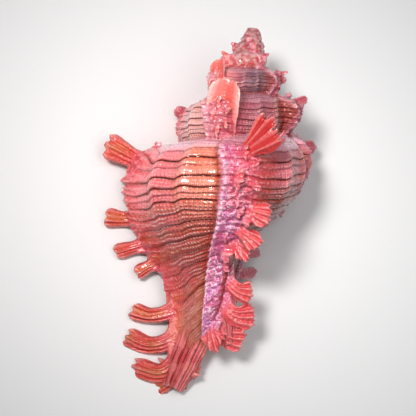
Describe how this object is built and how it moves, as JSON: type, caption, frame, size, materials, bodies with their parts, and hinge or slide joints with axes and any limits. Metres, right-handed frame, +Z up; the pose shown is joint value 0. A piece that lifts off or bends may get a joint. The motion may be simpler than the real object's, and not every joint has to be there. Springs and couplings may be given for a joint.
{
  "type": "murex shell",
  "caption": "Branched murex sea shell: a coiled pink body with frilled ridges, leafy spines, a pointed spire, an open mouth and a long slit canal, lying mouth down.",
  "frame": {"origin": "middle of the bounding box at the surface the shell lies on", "axes": "+Z up, away from the surface; the shell's length runs along Y with the spire towards +Y and the canal towards -Y; the mouth faces mostly -Z, and the finished lip with its row of fronds is on the -X side"},
  "size_m": [0.0568, 0.098, 0.0448],
  "materials": {
    "shell": "satin, pink to red-orange with dark spiral lines"
  },
  "bodies": {
    "root": {"shell": "shell"}
  },
  "joints": []
}
